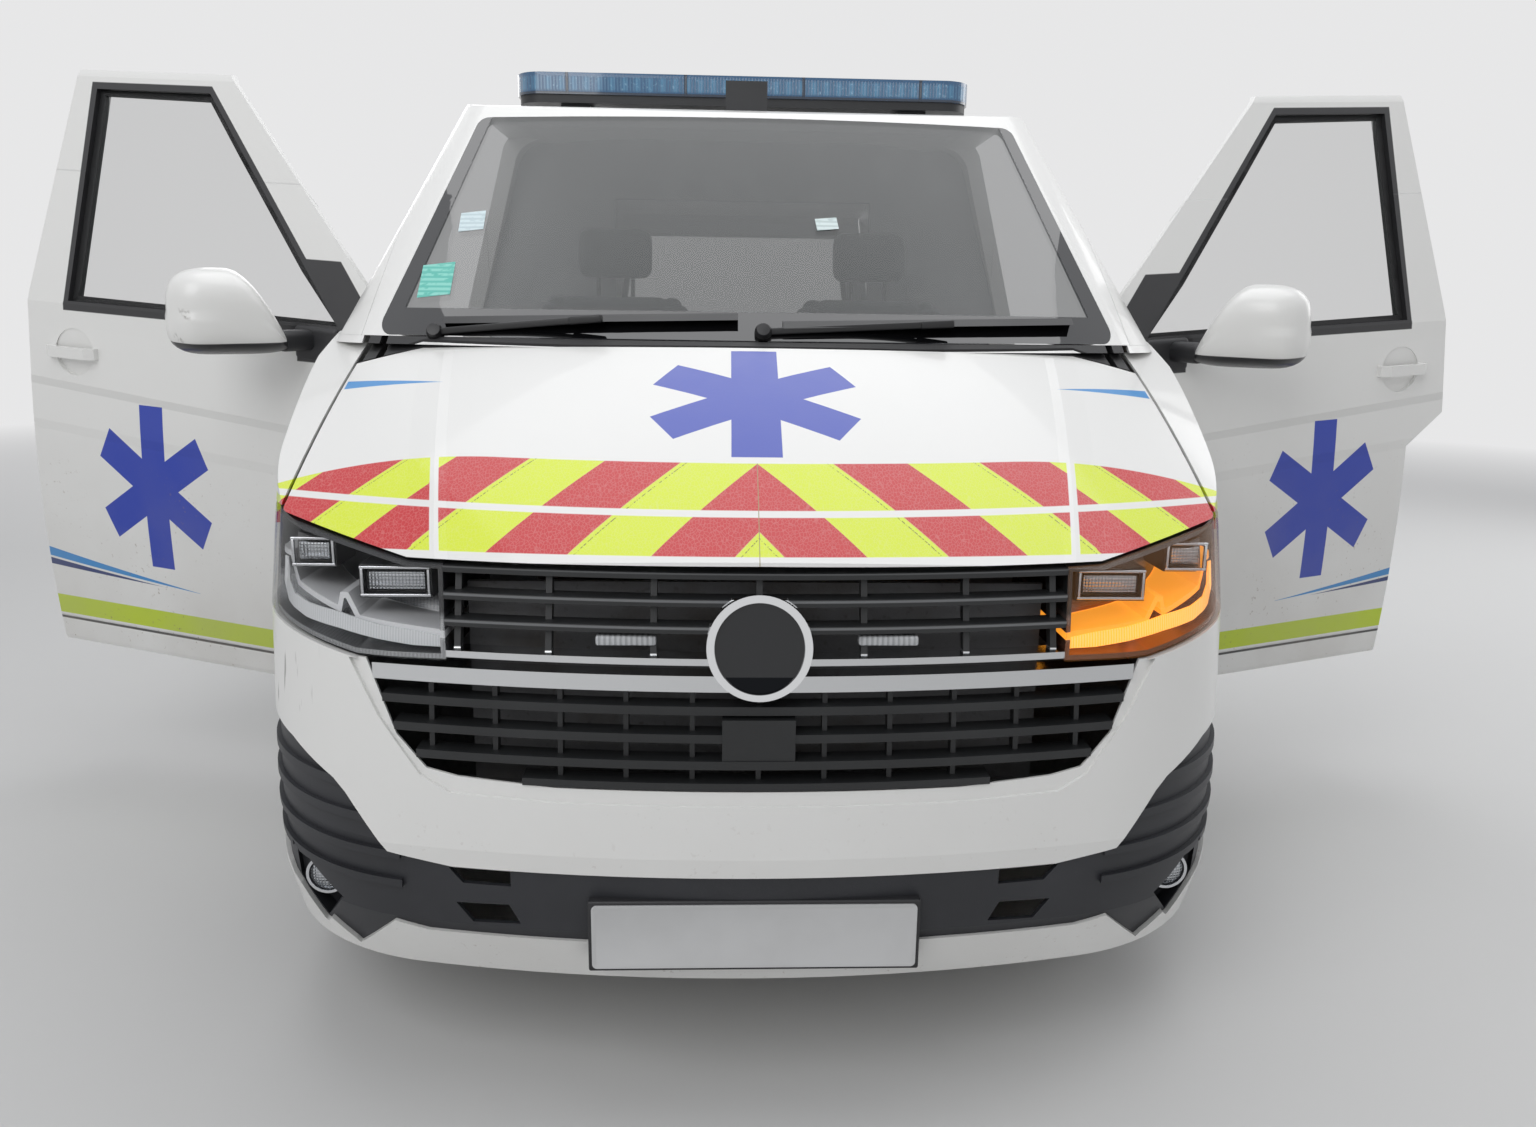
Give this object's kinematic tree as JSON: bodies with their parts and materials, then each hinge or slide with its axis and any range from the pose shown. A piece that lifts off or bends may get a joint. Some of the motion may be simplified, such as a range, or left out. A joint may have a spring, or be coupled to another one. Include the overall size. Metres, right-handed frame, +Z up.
{
  "type": "ambulance van",
  "caption": "Short-wheelbase panel van ambulance with roof light bar, open front doors, side and rear load doors, steered front wheels",
  "frame": {"origin": "on the ground under the middle of the overall box", "axes": "X across the van, positive to its own left; Y from nose to tail; Z up"},
  "size_m": [3.8412, 4.904, 2.0239],
  "materials": {
    "body_paint": "white gloss paint",
    "plastic_black": "black moulded plastic, satin",
    "glass": "clear glass, slightly green",
    "lamp": "clear lamp cover",
    "lamp_housing": "dark silver moulded plastic",
    "lamp_red": "red lamp cover",
    "light_blue": "blue lens",
    "tyre": "black rubber tread",
    "steel_dark": "dark painted steel",
    "rim_paint": "silver grey paint",
    "iron": "bare cast iron",
    "floor_paint": "grey primer and sealer",
    "exhaust_steel": "dulled steel",
    "seat_cloth": "dark grey cloth",
    "partition_board": "light grey panel"
  },
  "bodies": {
    "body": {"windscreen": "glass", "bodyside_left": "body_paint", "bodyside_right": "body_paint", "roof": "body_paint", "cowl_panel": "plastic_black", "wing_left": "body_paint", "wing_right": "body_paint", "front_bumper": "body_paint", "bumper_corner_trims": "plastic_black", "upper_grille": "plastic_black", "lower_grille": "plastic_black", "headlights": "lamp_housing", "headlight_lenses": "lamp", "sliding_door": "body_paint", "side_windows": "glass", "tail_lamps": "lamp_red", "rear_bumper": "plastic_black", "underbody": "floor_paint", "engine_block": "iron", "front_axle_carrier": "steel_dark", "rear_axle": "steel_dark", "light_bar": "light_blue", "light_bar_base": "plastic_black", "roof_aerial": "plastic_black", "wipers": "plastic_black", "dashboard": "plastic_black", "front_seats": "seat_cloth", "partition": "partition_board", "exhaust": "exhaust_steel", "fuel_tank": "plastic_black"},
    "left_door": {"front_door_left": "body_paint", "door_glass_left": "glass", "door_mirror_left": "plastic_black"},
    "right_door": {"front_door_right": "body_paint", "door_glass_right": "glass", "door_mirror_right": "plastic_black"},
    "bonnet_lid": {"bonnet": "body_paint"},
    "tailgate_lid": {"tailgate": "body_paint", "tailgate_glass": "glass"},
    "tank_flap": {"fuel_flap": "body_paint"},
    "steering_knuckle_left": {"knuckle_left": "iron"},
    "steering_knuckle_right": {"knuckle_right": "iron"},
    "front_wheel_left": {"rim_front_left": "rim_paint", "tyre_front_left": "tyre"},
    "front_wheel_right": {"rim_front_right": "rim_paint", "tyre_front_right": "tyre"},
    "rear_wheel_left": {"rim_rear_left": "rim_paint", "tyre_rear_left": "tyre"},
    "rear_wheel_right": {"rim_rear_right": "rim_paint", "tyre_rear_right": "tyre"},
    "hand_wheel": {"steering_wheel": "plastic_black"}
  },
  "joints": [
    {"name": "left_door_hinge", "type": "hinge", "parent": "body", "child": "left_door", "pos_m": [0.914, -1.26, 0.96], "axis": [-0.0698, 0, 0.9976], "range_deg": [-1, 76]},
    {"name": "right_door_hinge", "type": "hinge", "parent": "body", "child": "right_door", "pos_m": [-0.914, -1.26, 0.96], "axis": [0.0698, 0, 0.9976], "range_deg": [-73, 4]},
    {"name": "bonnet_hinge", "type": "hinge", "parent": "body", "child": "bonnet_lid", "pos_m": [0, -1.592, 1.224], "axis": [-1, 0, 0], "range_deg": [0, 55]},
    {"name": "tailgate_hinge", "type": "hinge", "parent": "body", "child": "tailgate_lid", "pos_m": [0, 2.2445, 1.903], "axis": [1, 0, 0], "range_deg": [0, 85]},
    {"name": "tank_flap_hinge", "type": "hinge", "parent": "body", "child": "tank_flap", "pos_m": [0.942, -0.164, 0.79], "axis": [0, 0, 1], "range_deg": [0, 90]},
    {"name": "steering_left", "type": "hinge", "parent": "body", "child": "steering_knuckle_left", "pos_m": [0.74, -1.544, 0.235], "axis": [-0.205, 0, 0.9788], "range_deg": [-35, 35]},
    {"name": "steering_right", "type": "hinge", "parent": "body", "child": "steering_knuckle_right", "pos_m": [-0.74, -1.544, 0.235], "axis": [0.205, 0, 0.9788], "range_deg": [-35, 35]},
    {"name": "hand_wheel_turn", "type": "hinge", "parent": "body", "child": "hand_wheel", "pos_m": [0.4, -1.107, 1.065], "axis": [0, 0.7715, 0.6362], "range_deg": [-525, 525]},
    {"name": "front_wheel_left_spin", "type": "hinge", "parent": "steering_knuckle_left", "child": "front_wheel_left", "pos_m": [0.814, -1.544, 0.343], "axis": [1, 0, 0], "continuous": true},
    {"name": "front_wheel_right_spin", "type": "hinge", "parent": "steering_knuckle_right", "child": "front_wheel_right", "pos_m": [-0.814, -1.544, 0.343], "axis": [1, 0, 0], "continuous": true},
    {"name": "rear_wheel_left_spin", "type": "hinge", "parent": "body", "child": "rear_wheel_left", "pos_m": [0.814, 1.456, 0.343], "axis": [1, 0, 0], "continuous": true},
    {"name": "rear_wheel_right_spin", "type": "hinge", "parent": "body", "child": "rear_wheel_right", "pos_m": [-0.814, 1.456, 0.343], "axis": [1, 0, 0], "continuous": true}
  ],
  "couplings": [
    {"joint": "steering_right", "follows": "steering_left", "ratio": 1}
  ]
}
